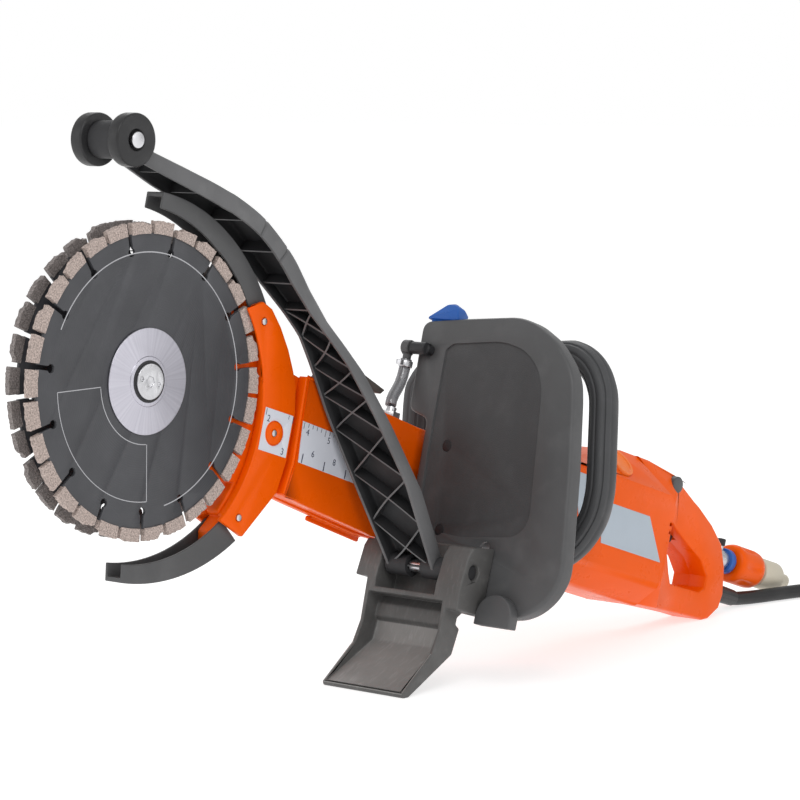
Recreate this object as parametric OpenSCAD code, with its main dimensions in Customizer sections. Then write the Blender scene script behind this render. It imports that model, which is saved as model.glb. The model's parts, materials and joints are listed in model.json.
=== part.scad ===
// Twin-blade concrete cut-off saw standing on its scoop and rear handle.
// Millimetres. Z up, floor at z = 0, the blades point to -X, the saw's left side is -Y.
// Most pieces are drawn in the saw frame: x back along the arm from the blade axis,
// y across, z square to the arm; saw() places that frame in the world.

/* [Blades] */
// Blade diameter
blade_d = 230; // [190:1:240]
// Steel core thickness
core_t = 2.4; // [1.8:0.1:3.2]
// Diamond segment height
seg_h = 9.5; // [7.5:0.5:12]
// Diamond segment thickness
seg_t = 4.4; // [3.4:0.1:5.4]
// Distance between the two cores, inner face to inner face
blade_gap = 16.2; // [15:0.1:22]
// Slots in each blade
n_slots = 15; // [9:1:20]
// Blade bore diameter
bore_d = 22.2; // [20:0.1:26]

/* [Arm] */
// Blade axis to drive pulley axis
arm_len = 350; // [292:1:420]
// Arm thickness between the blades
core_w = 12.8; // [11:0.1:14]
// Arm thickness over the covers
arm_w = 28; // [24:0.5:36]
// Pulley pitch radius
pulley_r = 24; // [20:0.5:30]

/* [Stance] */
// Scoop lip below the arm axis
scoop_drop = 178.8; // [172:0.2:190]

/* [Power unit] */
// Centre plane of the power unit, left of the arm
body_y = -60; // [-66:1:-56]
// Width of the motor housing
body_w = 90; // [84:1:108]
// Motor housing radius bored for the stator
motor_r = 40; // [36:0.5:41]
// Front handle tube diameter
grip_d = 23; // [19:0.5:27]

/* [Roller beam] */
// Roller diameter
roller_d = 38; // [31:0.5:45]
// Roller width
roller_w = 11; // [9:0.5:13]
// Beam wall thickness
wall_t = 2.6; // [2:0.1:3.5]

/* [Cable] */
// Cable diameter
cable_d = 12; // [10:0.5:14]

/* [Hidden] */
$fn = 48;
blade_r = blade_d / 2;
core_r = blade_r - seg_h;
g = blade_gap / 2;
ax = arm_len;
kx = arm_len / 350;
dr = blade_r - 115;
hw = core_w / 2;
aw = arm_w / 2;
plate_x = ax - 52;
gcx = -13.6;
gcz = -5.9;
grd = blade_r + 17;
by0 = body_y - body_w / 2;
by1 = body_y + body_w / 2;
pvx = ax - 72;
pvz = -76;
rlx = -71.5;
rlz = 157 + dr;
mz = -2;
hx = ax;
foot_z = -51.6;
iy = body_y + 8;
arm_pitch = atan2(scoop_drop + foot_z, 401);
axle_h = (ax - 107) * sin(arm_pitch) + scoop_drop * cos(arm_pitch) + 0.05;
ox = (blade_r - (ax + 440) * cos(arm_pitch) - 12.5 * sin(arm_pitch)) / 2;
oy = 64.75;

ORANGE = [0.95, 0.38, 0.08];
DARK = [0.27, 0.28, 0.29];
GREY = [0.36, 0.37, 0.38];
BLACK = [0.12, 0.12, 0.13];
STEEL = [0.72, 0.73, 0.75];
ALU = [0.78, 0.79, 0.8];
BLUE = [0.08, 0.38, 0.78];
CREAM = [0.86, 0.84, 0.78];
COPPER = [0.72, 0.42, 0.25];

module saw() {
  translate([ox, oy, axle_h])
    rotate([0, arm_pitch, 0])
      children();
}

module ycyl(r, y0, y1, x = 0, z = 0) {
  translate([x, y0, z])
    rotate([-90, 0, 0])
      cylinder(r = r, h = y1 - y0);
}

module ycone(r0, r1, y0, y1, x = 0, z = 0) {
  translate([x, y0, z])
    rotate([-90, 0, 0])
      cylinder(r1 = r0, r2 = r1, h = y1 - y0);
}

module xcyl(r, x0, x1, y = 0, z = 0) {
  translate([x0, y, z])
    rotate([0, 90, 0])
      cylinder(r = r, h = x1 - x0);
}

module xcone(r0, r1, x0, x1, y = 0, z = 0) {
  translate([x0, y, z])
    rotate([0, 90, 0])
      cylinder(r1 = r0, r2 = r1, h = x1 - x0);
}

module box(x0, x1, y0, y1, z0, z1) {
  translate([x0, y0, z0])
    cube([x1 - x0, y1 - y0, z1 - z0]);
}

module yext(y0, y1) {
  translate([0, y1, 0])
    rotate([90, 0, 0])
      linear_extrude(height = y1 - y0)
        children();
}

module xext(x0, x1) {
  translate([x0, 0, 0])
    rotate([90, 0, 90])
      linear_extrude(height = x1 - x0)
        children();
}

function unit(v) = v / norm(v);
function tng(p, i) = unit(p[min(i + 1, len(p) - 1)] - p[max(i - 1, 0)]);

// round tube along a hand-laid route
module tube(p, r, n, ref) {
  m = len(p);
  pts = [for (i = [0:m - 1])
    let (t = tng(p, i), s = unit(cross(t, ref)), u = cross(s, t))
      for (j = [0:n - 1])
        p[i] + r * (cos(360 * j / n) * s + sin(360 * j / n) * u)];
  side = [for (i = [0:m - 2]) for (j = [0:n - 1])
    [n * i + j, n * i + n + j, n * i + n + (j + 1) % n, n * i + (j + 1) % n]];
  caps = [[for (j = [0:n - 1]) j], [for (j = [0:n - 1]) n * m - 1 - j]];
  polyhedron(points = pts, faces = concat(side, caps), convexity = 6);
}

// ---------------------------------------------------------------- blades
module blade(s, phase) {
  a = s < 0 ? -g - core_t : g;
  m = a + core_t / 2;
  difference() {
    union() {
      ycyl(core_r, a, a + core_t);
      difference() {
        ycyl(blade_r, m - seg_t / 2, m + seg_t / 2);
        ycyl(core_r - 1.5, m - seg_t, m + seg_t);
      }
    }
    ycyl(bore_d / 2, a - 1, a + core_t + 1);
    for (i = [0:n_slots - 1])
      rotate([0, i * 360 / n_slots + phase, 0]) {
        box(core_r - 12.5, blade_r + 1, a - 2, a + core_t + 2, -1.6, 1.6);
        ycyl(3.2, a - 2, a + core_t + 2, core_r - 12.5, 0);
        rotate([0, 180 / n_slots, 0])
          box(core_r + 1.5, blade_r + 1, a - 2, a + core_t + 2, -1, 1);
      }
  }
}

module blade_left() {
  color(GREY) saw() blade(-1, 4);
}

module blade_right() {
  color(GREY) saw() blade(1, 16);
}

module flange(s) {
  a = g + core_t;
  difference() {
    union() {
      scale([1, s, 1]) {
        ycyl(38.3, a, a + 1.4);
        ycyl(18, a, a + 2.2);
      }
    }
    scale([1, s, 1]) ycyl(6.05, a - 1, a + 4);
  }
}

module blade_flanges() {
  color(STEEL) saw() {
    flange(1);
    mirror([0, 1, 0]) flange(1);
  }
}

module hubscrew() {
  a = g + core_t + 2.2;
  difference() {
    union() {
      ycyl(13, a, a + 2);
      ycyl(6, a - 9, a);
    }
    translate([0, a + 3, 0]) rotate([90, 0, 0]) cylinder(r = 4.2, h = 2.4, $fn = 6);
    ycyl(1.6, a + 0.6, a + 3, 8.6, 0);
    ycyl(1.6, a + 0.6, a + 3, -8.6, 0);
  }
}

module blade_screws() {
  color(STEEL) saw() {
    hubscrew();
    mirror([0, 1, 0]) hubscrew();
  }
}

module spindle() {
  color(STEEL) saw()
    difference() {
      union() {
        ycyl(bore_d / 2 - 0.05, -g - core_t, g + core_t);
        ycyl(20, -g, -hw - 0.6);
        ycyl(20, hw + 0.6, g);
        ycyl(pulley_r - 1, -3, 3);
        ycyl(13, -hw - 0.6, hw + 0.6);
      }
      ycyl(6.05, g + core_t - 8, g + core_t + 1);
      ycyl(6.05, -g - core_t - 1, -g - core_t + 8);
    }
}

module ring(ro, ri, y0, y1, x, z) {
  difference() {
    ycyl(ro, y0, y1, x, z);
    ycyl(ri, y0 - 1, y1 + 1, x, z);
  }
}

module spindle_bearings() {
  color(STEEL) saw() {
    ring(19, 13.05, -hw + 0.2, -3.3, 0, 0);
    ring(19, 13.05, 3.3, hw - 0.2, 0, 0);
  }
}

module drive_belt() {
  color(BLACK) saw()
    difference() {
      union() {
        ycyl(pulley_r + 1.5, -3, 3);
        ycyl(pulley_r + 1.5, -3, 3, ax, 0);
        box(0, ax, -3, 3, -pulley_r - 1.5, pulley_r + 1.5);
      }
      ycyl(pulley_r - 0.7, -4, 4);
      ycyl(pulley_r - 0.7, -4, 4, ax, 0);
      box(0, ax, -4, 4, -pulley_r + 0.7, pulley_r - 0.7);
    }
}

module drive_pulley() {
  color(STEEL) saw()
    difference() {
      union() {
        ycyl(pulley_r - 1, -3, 3, ax, 0);
        ycyl(14, -3, 3, ax, 0);
      }
      ycyl(7.05, -5, 5, ax, 0);
    }
}

module output_shaft() {
  color(STEEL) saw()
    union() {
      ycyl(7, body_y - 36, 5, ax, 0);
      ycyl(9, body_y - 28, body_y - 21, ax, 0);
    }
}

module crown_gear() {
  color(STEEL) saw()
    translate([ax, body_y, 0])
      rotate([-90, 0, 0])
        rotate_extrude()
          polygon([[7.05, -20], [27, -20], [28, -9.4], [19, -6.4], [12, -8], [7.05, -8]]);
}

// ---------------------------------------------------------------- motor
module rotor() {
  color(COPPER) saw()
    union() {
      xcyl(6, ax + 15, ax + 172, body_y, mz);
      xcone(5.4, 8.6, ax + 18, ax + 27.5, body_y, mz);
      xcyl(motor_r - 15, ax + 60, ax + 122, body_y, mz);
      xcyl(14, ax + 128, ax + 148, body_y, mz);
      xcyl(motor_r - 6, ax + 48, ax + 54, body_y, mz);
    }
}

module stator() {
  color(STEEL) saw()
    difference() {
      xcyl(motor_r - 0.2, ax + 58, ax + 124, body_y, mz);
      xcyl(motor_r - 14, ax + 50, ax + 130, body_y, mz);
    }
}

module case_bearings() {
  color(STEEL) saw() {
    ring(15, 7.05, body_y - 36, body_y - 28, ax, 0);
    ring(15, 7.05, by1 - 10, by1 - 2, ax, 0);
    difference() {
      xcyl(13, ax + 28.2, ax + 35.8, body_y, mz);
      xcyl(6.05, ax + 27, ax + 47, body_y, mz);
    }
    difference() {
      xcyl(13, ax + 164, ax + 172, body_y, mz);
      xcyl(6.05, ax + 163, ax + 173, body_y, mz);
    }
  }
}

module brushes() {
  color(BLACK) saw()
    for (s = [-1, 1])
      box(ax + 132, ax + 144, body_y - 5, body_y + 5,
        s > 0 ? mz + 14.3 : mz - 28, s > 0 ? mz + 28 : mz - 14.3);
}

module shoulder(y, r, h0, h1) {
  translate([ax + 110, body_y + y * (body_w / 2 - 12), 47])
    rotate([y < 0 ? 47.3 : -47.3, 0, 0])
      translate([0, 0, h0])
        cylinder(r = r, h = h1 - h0);
}

module brush_caps() {
  color(ORANGE) saw()
    for (y = [-1, 1])
      difference() {
        shoulder(y, 13, -3, 2.2);
        shoulder(y, 10, 1.2, 3);
      }
}

// ---------------------------------------------------------------- arm
module core_profile() {
  circle(r = 50);
  polygon([[0, -50], [0, 50], [60, 50], [118, 46], [160 * kx, 41], [ax - 50, 33], [ax + 34, 33],
    [ax + 34, -40], [ax - 20, -56], [ax - 80, -57], [150 * kx, -48], [118, -50], [60, -50]]);
}

module arm_core() {
  color(ORANGE) saw()
    difference() {
      union() {
        yext(-hw, hw) core_profile();
        intersection() {
          ring(grd + 8.8, grd + 2, -hw, hw, gcx, gcz);
          yext(-hw, hw) polygon([[60, 0], [97, 104 + dr], [112, 96 + dr], [160, 0],
            [130, -82 - dr], [104, -76 - dr]]);
        }
        intersection() {
          ring(grd + 18, grd + 8, -hw, hw, gcx, gcz);
          yext(-hw, hw) polygon([[90, -60], [146, -60], [128, -108 - dr], [106, -116 - dr]]);
        }
      }
      ycyl(pulley_r + 3, -3.1, 3.1);
      ycyl(pulley_r + 3, -3.1, 3.1, ax, 0);
      box(0, ax, -3.1, 3.1, -pulley_r - 3, pulley_r + 3);
      ycyl(19.05, -hw - 1, hw + 1);
      ycyl(8, -hw - 1, hw + 1, ax, 0);
    }
}

module rear_profile() {
  polygon([[158 * kx, 42], [ax - 52, 34], [ax + 34, 33], [ax + 34, -42], [ax - 20, -58],
    [ax - 80, -59], [186 * kx, -52], [159 * kx, -49], [162 * kx, -24]]);
}

module arm_cover(s) {
  difference() {
    union() {
      yext(hw, aw) rear_profile();
      yext(aw, aw + 1) polygon([[158 * kx, 42], [161 * kx, 42], [165 * kx, -24],
        [161.5 * kx, -49], [159 * kx, -49], [162 * kx, -24]]);
    }
    ycyl(pulley_r + 3, hw - 1, aw - 2, ax, 0);
    box(176 * kx, ax - 40, hw - 1, aw - 2, -42, 28);
    if (s < 0)
      ycyl(9, 0, aw + 2, ax, 0);
  }
}

module arm_cover_left() {
  color(ORANGE) saw() mirror([0, 1, 0]) arm_cover(-1);
}

module arm_cover_right() {
  color(ORANGE) saw()
    union() {
      arm_cover(1);
      yext(aw - 3, aw)
        polygon([[ax - 131, -55], [ax - 67, -57], [ax - 67, -63.5], [ax - 70, -63.5], [ax - 131, -59]]);
    }
}

module front_profile() {
  difference() {
    polygon([[60, 60], [84, 76.5 + dr], [97, 84 + dr], [108, 81 + dr], [121, 70.5],
      [134, 56.5], [144, 42.5], [150.5, 30.5], [155, 13.5], [156.5, -25],
      [153, -49], [126, -88 - dr], [101, -81 - dr], [60, -60]]);
    translate([3.6, -13]) circle(r = blade_r + 2.5, $fn = 96);
  }
}

module front_cover() {
  difference() {
    yext(hw, aw) front_profile();
    ycyl(blade_r + 2.5, hw - 1, g + core_t + 2);
    intersection() {
      ring(grd + 33, grd - 5, hw - 1, 9.2, gcx, gcz);
      union() {
        box(70, 115, 0, 12, 68 + dr * 0.6, 110 + dr);
        box(90, 140, 0, 12, -110 - dr, -77 - dr * 0.5);
      }
    }
    ycyl(2.6, hw - 1, aw + 1, 102, 70);
    ycyl(2.6, hw - 1, aw + 1, 118, -75);
    ycyl(2.6, hw - 1, aw + 1, 136, -7);
  }
}

module front_cover_left() {
  color(ORANGE) saw()
    mirror([0, 1, 0])
      union() {
        front_cover();
        ring(9, 2.6, aw, aw + 1.6, 136, -7);
      }
}

module front_cover_right() {
  color(ORANGE) saw()
    union() {
      front_cover();
      ring(9, 2.6, aw, aw + 1.6, 136, -7);
    }
}

module cover_screws() {
  color(STEEL) saw()
    for (s = [0, 1])
      mirror([0, s, 0]) {
        ycyl(2.5, hw + 0.2, aw + 0.6, 102, 70);
        ycyl(2.5, hw + 0.2, aw + 0.6, 118, -75);
        ycyl(2.5, hw + 0.2, aw + 1.2, 136, -7);
      }
}

module depth_scale() {
  color([0.95, 0.95, 0.95]) saw()
    mirror([0, 1, 0]) {
      difference() {
        yext(aw + 0.02, aw + 0.32)
          polygon([[122, 10], [153, 10], [154, -22], [123, -22]]);
        ycyl(9.4, aw - 1, aw + 2, 136, -7);
      }
      yext(aw + 0.02, aw + 0.32)
        polygon([[164.5 * kx, 9], [262 * kx, 6], [262 * kx, -25], [168.5 * kx, -22]]);
    }
}

// tapered channel between two circles, open towards the blades
module guard_arc(a0, a1, oc, ro, ic, ri) {
  am = (a0 + a1) / 2;
  difference() {
    intersection() {
      yext(-8.8, 8.8)
        difference() {
          translate(oc) circle(r = ro + dr, $fn = 120);
          translate(ic) circle(r = ri + dr, $fn = 120);
        }
      yext(-9, 9)
        polygon([[gcx, gcz], [gcx + 240 * cos(a0), gcz + 240 * sin(a0)],
          [gcx + 280 * cos(am), gcz + 280 * sin(am)],
          [gcx + 240 * cos(a1), gcz + 240 * sin(a1)]]);
    }
    yext(-6.6, 6.6) translate(oc) circle(r = ro + dr - 3.4, $fn = 120);
    ycyl(blade_r + 2.2, -12, 12);
  }
}

module blade_guard() {
  color(DARK) saw() {
    guard_arc(37, 93, [-5, -11.8], 146.5, [gcx, gcz], 128);
    guard_arc(-76.5, -31.5, [5, 21.5], 165, [-1.7, 6.8], 138);
  }
}

module beam_stop() {
  color(DARK) saw()
    yext(-3, 3)
      polygon([[178 * kx, 41.1], [196 * kx, 40], [205 * kx, 50], [258 * kx, 51], [262 * kx, 55],
        [224 * kx, 63.5], [188 * kx, 56]]);
}

// ---------------------------------------------------------------- power unit
module body_section(d) {
  polygon([[by0 + d, -42], [by0 + 19 + d, -59.5 + d], [by1 - 19 - d, -59.5 + d], [by1 - d, -42],
    [by1 - d, 34], [by1 - 24, 60 - d], [by0 + 24, 60 - d], [by0 + d, 34]]);
}

module gear_case() {
  color(ALU) saw()
    difference() {
      union() {
        intersection() {
          xext(plate_x + 17, hx + 36) body_section(0);
          yext(by0 - 1, by1 + 1)
            polygon([[plate_x + 17, -50], [plate_x + 27, -59.5], [hx + 36, -59.5],
              [hx + 36, 33], [plate_x + 27, 33], [plate_x + 17, 24]]);
        }
        ycyl(22, by1 - 1, -aw - 0.05, ax, 0);
      }
      ycyl(31, body_y - 27, by1 - 10.5, ax, 0);
      ycyl(15.05, body_y - 36.5, body_y - 20, ax, 0);
      ycyl(15.05, by1 - 14, by1 - 1.5, ax, 0);
      ycyl(9.5, by1 - 6, by1 + 1, ax, 0);
      xcyl(13.05, ax + 10, ax + 46, body_y, mz);
    }
}

module motor_housing() {
  color(ORANGE) saw()
    difference() {
      intersection() {
        xext(hx + 36.2, hx + 182) body_section(0);
        yext(by0 - 1, by1 + 1)
          polygon([[hx + 36.2, -60], [hx + 36.2, 35], [hx + 60, 35], [hx + 77, 46], [hx + 125, 60],
            [hx + 146, 60], [hx + 188, 20], [hx + 177, 12], [hx + 177, -60]]);
      }
      xcyl(motor_r, hx + 30, hx + 160, body_y, mz);
      xcyl(13.05, hx + 150, hx + 172.2, body_y, mz);
      shoulder(-1, 13.3, -3.1, 9);
      shoulder(1, 13.3, -3.1, 9);
    }
}

module handle_side() {
  difference() {
    polygon([[hx + 146.6, 60], [hx + 162, 60], [hx + 195, 56], [hx + 225, 49], [hx + 254, 39],
      [hx + 278, 28], [hx + 298, 15], [hx + 309, -4], [hx + 314, -26], [hx + 311, -39],
      [hx + 298, foot_z + 1.27], [hx + 290, foot_z - 1.27], [hx + 270, -53],
      [hx + 177.4, -57.5], [hx + 177.4, 12.3], [hx + 188.6, 20]]);
    polygon([[hx + 211, 19], [hx + 222, 13.5], [hx + 270, -4], [hx + 283, -16], [hx + 283, -26],
      [hx + 276, -31], [hx + 230, -32], [hx + 224, -24], [hx + 216, -10], [hx + 204, 8], [hx + 204, 17]]);
  }
}

module handle_block(d) {
  intersection() {
    yext(by0 + 2, by1 - 2) handle_side();
    xext(hx + 140, hx + 318)
      polygon([[body_y - 40, -36], [body_y - 22, -58], [body_y + 22, -58], [body_y + 40, -36],
        [body_y + 40, 30], [body_y + 22, 62], [body_y - 22, 62], [body_y - 40, 30]]);
    linear_extrude(height = 140, center = true)
      polygon([[hx + 140, body_y - 42], [hx + 186, body_y - 41], [hx + 214, body_y - 21],
        [hx + 245, body_y - 18], [hx + 316, body_y - 17], [hx + 316, body_y + 17],
        [hx + 245, body_y + 18], [hx + 214, body_y + 21], [hx + 186, body_y + 41],
        [hx + 140, body_y + 42]]);
  }
}

module handle_cuts() {
  translate([0, 0, -40])
    linear_extrude(height = 68)
      polygon([[hx + 176, body_y - 33], [hx + 186, body_y - 33], [hx + 203.5, body_y - 20],
        [hx + 203.5, body_y + 20], [hx + 186, body_y + 33], [hx + 176, body_y + 33]]);
  box(hx + 214, hx + 241.5, body_y - 8.4, body_y + 8.4, 2, 36);
  box(hx + 192, hx + 214.2, body_y - 12, body_y + 12, 6, 30);
  ycyl(7.3, body_y - 60, body_y - 12, hx + 197, 47);
  ycyl(3.3, body_y - 13, body_y + 20, hx + 197, 47);
  for (i = [0:5])
    box(hx + 181 + i * 4, hx + 191 + i * 4, body_y - 60, body_y - 30 + i * 3.2,
      10.5 - i * 6.6, 13.6 - i * 6.6);
  xcyl(8.1, hx + 290, hx + 330, body_y, -24);
  xcyl(7.1, hx + 290, hx + 330, iy, 6);
}

module rear_handle_left() {
  color(ORANGE) saw()
    union() {
      difference() {
        handle_block(0);
        handle_cuts();
        box(hx + 100, hx + 340, body_y, body_y + 80, -80, 80);
      }
      ycyl(1.55, body_y - 8.6, body_y + 8.2, hx + 218.5, 21);
    }
}

module rear_handle_right() {
  color(ORANGE) saw()
    difference() {
      handle_block(0);
      handle_cuts();
      box(hx + 100, hx + 340, body_y - 80, body_y, -80, 80);
    }
}

module trigger() {
  color(BLACK) saw()
    difference() {
      yext(body_y - 7.8, body_y + 7.8)
        polygon([[hx + 216, 26.3], [hx + 239, 15], [hx + 236, 4], [hx + 231, 2],
          [hx + 226, 8], [hx + 214.6, 12]]);
      ycyl(1.6, body_y - 9, body_y + 9, hx + 218.5, 21);
    }
}

module lock_button() {
  color(DARK) saw()
    union() {
      ycyl(7, body_y - 32, body_y - 16, hx + 197, 47);
      ycyl(3, body_y - 16.5, body_y - 3, hx + 197, 47);
    }
}

module switch_unit() {
  color(BLACK) saw()
    box(hx + 192.3, hx + 213.9, body_y - 11.7, body_y + 11.7, 6.3, 29.7);
}

module side_labels() {
  color([0.66, 0.71, 0.74]) saw() {
    yext(by0 - 0.35, by0 - 0.02)
      polygon([[hx + 80, 11.3], [hx + 147, 11.5], [hx + 173, -22], [hx + 88, -22]]);
    yext(by0 - 0.35, by0 - 0.02)
      polygon([[hx + 38, 26.5], [hx + 66, 26.5], [hx + 60, -6], [hx + 52, -6]]);
  }
}

// ---------------------------------------------------------------- front handle
function hpt(y, z) = [ax, y, z];

module front_handle() {
  p = [hpt(-126, -50), hpt(-134, -46.5), hpt(-142, -41), hpt(-150, -33), hpt(-156, -23), hpt(-160, -12),
    hpt(-161, 0), hpt(-160, 14), hpt(-154, 46), hpt(-148, 76), hpt(-143, 88), hpt(-136, 98),
    hpt(-126, 106), hpt(-114, 110.5), hpt(-100, 110.5), hpt(-40, 103), hpt(8, 97), hpt(20, 94),
    hpt(30, 88), hpt(36, 79), hpt(38, 68), hpt(32, 34), hpt(28, 8), hpt(27, -6), hpt(27, -20)];
  color(DARK) saw() tube(p, grip_d / 2, 20, [1, 0, 0]);
}

module handle_brackets() {
  color(ALU) saw() {
    union() {
      box(ax - 12, ax + 14, -116, body_y - 18, -63.2, -59.6);
      box(ax - 10, ax + 12, -120.6, -112, -63.2, -41);
    }
    union() {
      box(ax - 9, ax + 9, aw + 0.05, 36, -24, -20.2);
      box(ax - 9, ax + 9, aw + 0.05, aw + 3, -44, -22);
    }
  }
}

// ---------------------------------------------------------------- splash guard
module plate_outline() {
  polygon([[4, 113], [0, 119.5], [-40, 124], [-91, 128], [-108, 124], [-130, 112], [-147, 95],
    [-155, 82], [-158.7, 66.7], [-168.6, 13.3], [-178.3, -54.8], [-179, -68], [-173, -84],
    [-160, -97], [-144, -104], [-98, -106], [-24, -100], [-21, 4], [-15.5, 4], [-15.5, 44], [1, 48]]);
}

module splash_guard() {
  color(GREY) saw()
    difference() {
      union() {
        difference() {
          xext(plate_x, plate_x + 15) plate_outline();
          translate([0, -84, 8]) scale([1, 0.955, 0.965]) translate([0, 84, -8])
            xext(plate_x + 3, plate_x + 20) plate_outline();
        }
        xcyl(8, plate_x + 2, plate_x + 16.95, -53, -44);
        xcyl(8, plate_x + 2, plate_x + 16.95, -44, 22);
      }
      xext(plate_x - 1, plate_x + 1)
        polygon([[-25, 98], [-32, 103], [-80, 107.5], [-104, 102], [-120, 88], [-127, 72],
          [-139, -26], [-136, -36], [-127, -43], [-76, -48], [-31.5, -44], [-27, 20]]);
      xcyl(4.6, plate_x - 1, plate_x + 20, -44, 22);
      xcyl(4.6, plate_x - 1, plate_x + 20, -53, -44);
      xcyl(4.6, plate_x - 1, plate_x + 4, -102, -53.5);
      xcyl(4, plate_x - 1, plate_x + 16, -10, 96);
      box(plate_x + 2, plate_x + 16, -30, 6, 84, 108);
      box(plate_x + 2, plate_x + 16, -38, 6, 108, 130);
    }
}

module guard_screws() {
  color(BLACK) saw() {
    xcyl(4.5, plate_x + 1.8, plate_x + 16.9, -44, 22);
    xcyl(4.5, plate_x + 1.8, plate_x + 16.9, -53, -44);
  }
}

module guard_cap() {
  color(GREY) saw()
    difference() {
      union() {
        xcyl(17, plate_x - 10, plate_x - 0.02, -130.2, -106);
        box(plate_x - 10, plate_x - 0.02, -147.2, -113.2, -113, -106);
      }
      box(plate_x - 12, plate_x + 1, -152, -108, -130, -113);
      box(plate_x - 7.5, plate_x - 2.5, -143.2, -117.2, -114, -108);
    }
}

module tap_valve() {
  color(BLACK) saw()
    union() {
      box(plate_x + 2.4, plate_x + 14, -29, -2, 85, 107);
      xcyl(3.9, plate_x - 7, plate_x + 3, -10, 96);
      ycyl(5, -12, 3, plate_x - 7, 96);
      ring(3.2, 1.2, 3, 4, plate_x - 7, 96);
    }
}

module tap_lever() {
  color(BLUE) saw()
    translate([plate_x + 8, -16, 119])
      union() {
        ycyl(5.5, -13, 14);
        intersection() {
          yext(-13, 18) polygon([[-5, 3], [5, 3], [8, 9], [-3, 17], [-8, 15]]);
          xext(-12, 12) polygon([[-13, 1], [18, 1], [18, 5], [-6, 17.5], [-13, 13]]);
        }
      }
}

module water_elbow() {
  color(DARK) saw()
    difference() {
      union() {
        ycyl(6, 4.05, 11, plate_x - 7, 96);
        translate([plate_x - 7, 7, 80]) cylinder(r = 3.4, h = 10.9);
      }
      translate([plate_x - 7, 7, 79]) cylinder(r = 1.6, h = 16);
    }
}

module hose_clamp() {
  color(STEEL) saw()
    translate([plate_x - 7, 7, 80])
      difference() {
        union() {
          cylinder(r = 5.7, h = 5);
          box(-9, -4.8, -2.5, 2.5, 0.5, 4.5);
        }
        translate([0, 0, -1]) cylinder(r = 4.62, h = 7);
      }
}

module arm_hose() {
  p = [[plate_x - 7, 7, 86.5], [plate_x - 7, 7, 79], [plate_x - 7.6, 6.9, 72], [plate_x - 9.6, 6.3, 66],
    [plate_x - 13, 5.2, 60.5], [plate_x - 17, 3.8, 55.5], [plate_x - 20, 2.4, 50.5],
    [plate_x - 21, 1.4, 46]];
  color([0.3, 0.3, 0.31]) saw()
    difference() {
      tube(p, 4.6, 16, [0, 1, 0]);
      translate([plate_x - 7, 7, 78.5]) cylinder(r = 3.42, h = 9);
    }
}

module arm_fitting() {
  color(STEEL) saw()
    union() {
      translate([plate_x - 21, 0.6, 35.9]) cylinder(r = 8.5, h = 5, $fn = 6);
      translate([plate_x - 21, 0.6, 35.9]) rotate([0, 8, 0]) cylinder(r = 4, h = 9);
    }
}

// ---------------------------------------------------------------- scoop
module scoop_side() {
  polygon([[plate_x - 30, -66], [plate_x - 26, -58], [plate_x - 0.3, -54], [plate_x - 0.3, -98],
    [plate_x - 14, -111], [plate_x - 14, -116], [plate_x - 9, -118.5], [plate_x - 12, -139],
    [ax - 104, 0.95 - scoop_drop],
    [ax - 110, -0.95 - scoop_drop], [ax - 112, 2 - scoop_drop], [plate_x - 35, -142],
    [plate_x - 31, -124], [plate_x - 33, -90]]);
}

module scoop() {
  color(GREY) saw()
    difference() {
      union() {
        yext(-101, -20) scoop_side();
        intersection() {
          yext(-113, -8) scoop_side();
          union() {
            box(plate_x - 40, plate_x, -113, -88.6, -106, -50);
            box(plate_x - 40, plate_x, -31, -14.4, -90, -50);
            box(plate_x - 40, plate_x, -14.5, -8, -90, -60);
          }
        }
      }
      yext(-97.5, -23.5)
        polygon([[plate_x - 60, -101], [plate_x - 12, -101], [plate_x - 18, -108],
          [plate_x - 18.5, -118], [plate_x - 14.5, -121], [plate_x - 16, -136.5],
          [ax - 110, 3.6 - scoop_drop], [ax - 150, 2.8 - scoop_drop]]);
      box(plate_x - 40, plate_x - 9, -88.6, -29, -97, -40);
      ycyl(4.05, -110, -10, pvx, pvz);
      ycyl(6, -114, -108, pvx, pvz);
    }
}

module pivot_pin() {
  color(STEEL) saw()
    union() {
      ycyl(4, -107.9, -12, pvx, pvz);
      ycyl(5.5, -110.5, -107.9, pvx, pvz);
    }
}

// ---------------------------------------------------------------- roller beam
// stations: back line x, z, unit vector towards the open front, depth
st = [
  [pvx + 5, -70, -0.755, -0.656, 16],
  [ax - 109, -22, -0.755, -0.656, 16],
  [ax - 150, 25, -0.755, -0.656, 16],
  [ax - 178, 57, -0.755, -0.656, 16],
  [ax - 206, 88, -0.74, -0.673, 16],
  [125 * kx, 108 + dr * 0.5, -0.71, -0.704, 17],
  [104 * kx, 126 + dr, -0.6, -0.8, 17],
  [74, 142 + dr, -0.4, -0.917, 16],
  [34, 151 + dr, -0.15, -0.989, 15],
  [-10, 155 + dr, -0.05, -0.999, 14],
  [-42, 158 + dr, 0, -1, 13],
  [-64, 160 + dr, 0, -1, 12]];

function bk(d) = [for (s = st) [s[0] + s[2] * d, s[1] + s[3] * d]];
function rev(l) = [for (i = [len(l) - 1:-1:0]) l[i]];
function fr(e) = [for (s = st) [s[0] + s[2] * (s[4] + e), s[1] + s[3] * (s[4] + e)]];

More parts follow.
